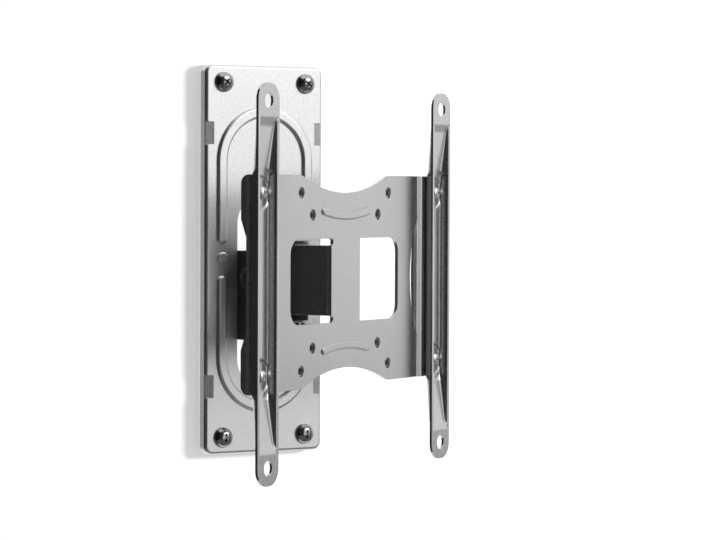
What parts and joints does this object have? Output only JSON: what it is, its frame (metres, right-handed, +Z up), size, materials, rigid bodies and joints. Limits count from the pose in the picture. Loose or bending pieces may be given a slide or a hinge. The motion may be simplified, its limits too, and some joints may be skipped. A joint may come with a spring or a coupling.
{
  "type": "screen wall mount",
  "caption": "Tilting and swivelling screen wall mount with a pressed wall plate, a black pivot knuckle, a butterfly head plate and upright extension arms.",
  "frame": {"origin": "centre of the four wall screws, in the plane of the wall, behind the middle of the wall plate", "axes": "+Z up, +Y into the wall, -Y into the room, +X to the right of a person who faces the wall"},
  "size_m": [0.2003, 0.1767, 0.2343],
  "materials": {
    "satin_silver": "satin silver, fine mottled grain",
    "black_metal": "satin black",
    "black_steel": "blackened steel",
    "zinc_steel": "dull zinc",
    "bright_steel": "bright plated",
    "nylon": "black nylon"
  },
  "bodies": {
    "wall": {"wall_plate": "satin_silver", "wall_screw_upper_left": "bright_steel", "wall_screw_upper_right": "bright_steel", "wall_screw_lower_left": "bright_steel", "wall_screw_lower_right": "bright_steel", "wall_bracket": "black_metal", "bracket_rivets": "satin_silver", "tilt_bolt": "black_steel", "tilt_washer_left": "black_steel", "tilt_washer_right": "black_steel", "tilt_nut": "black_steel", "tilt_friction_discs": "nylon"},
    "knuckle": {"knuckle": "black_metal"},
    "head": {"head_plate": "satin_silver", "swivel_pin": "zinc_steel", "swivel_nut": "black_steel", "swivel_washers": "nylon", "extension_arm_left": "satin_silver", "extension_arm_right": "satin_silver", "arm_screw_upper_left": "bright_steel", "arm_screw_upper_right": "bright_steel", "arm_screw_lower_left": "bright_steel", "arm_screw_lower_right": "bright_steel", "arm_nuts": "bright_steel"}
  },
  "joints": [
    {"name": "head_tilt", "type": "hinge", "parent": "wall", "child": "knuckle", "pos_m": [0, -0.021, -0.0105], "axis": [1, 0, 0], "range_deg": [-15, 15]},
    {"name": "head_swivel", "type": "hinge", "parent": "knuckle", "child": "head", "pos_m": [0, -0.0445, -0.0105], "axis": [0, 0, 1], "range_deg": [-63, 7]}
  ]
}
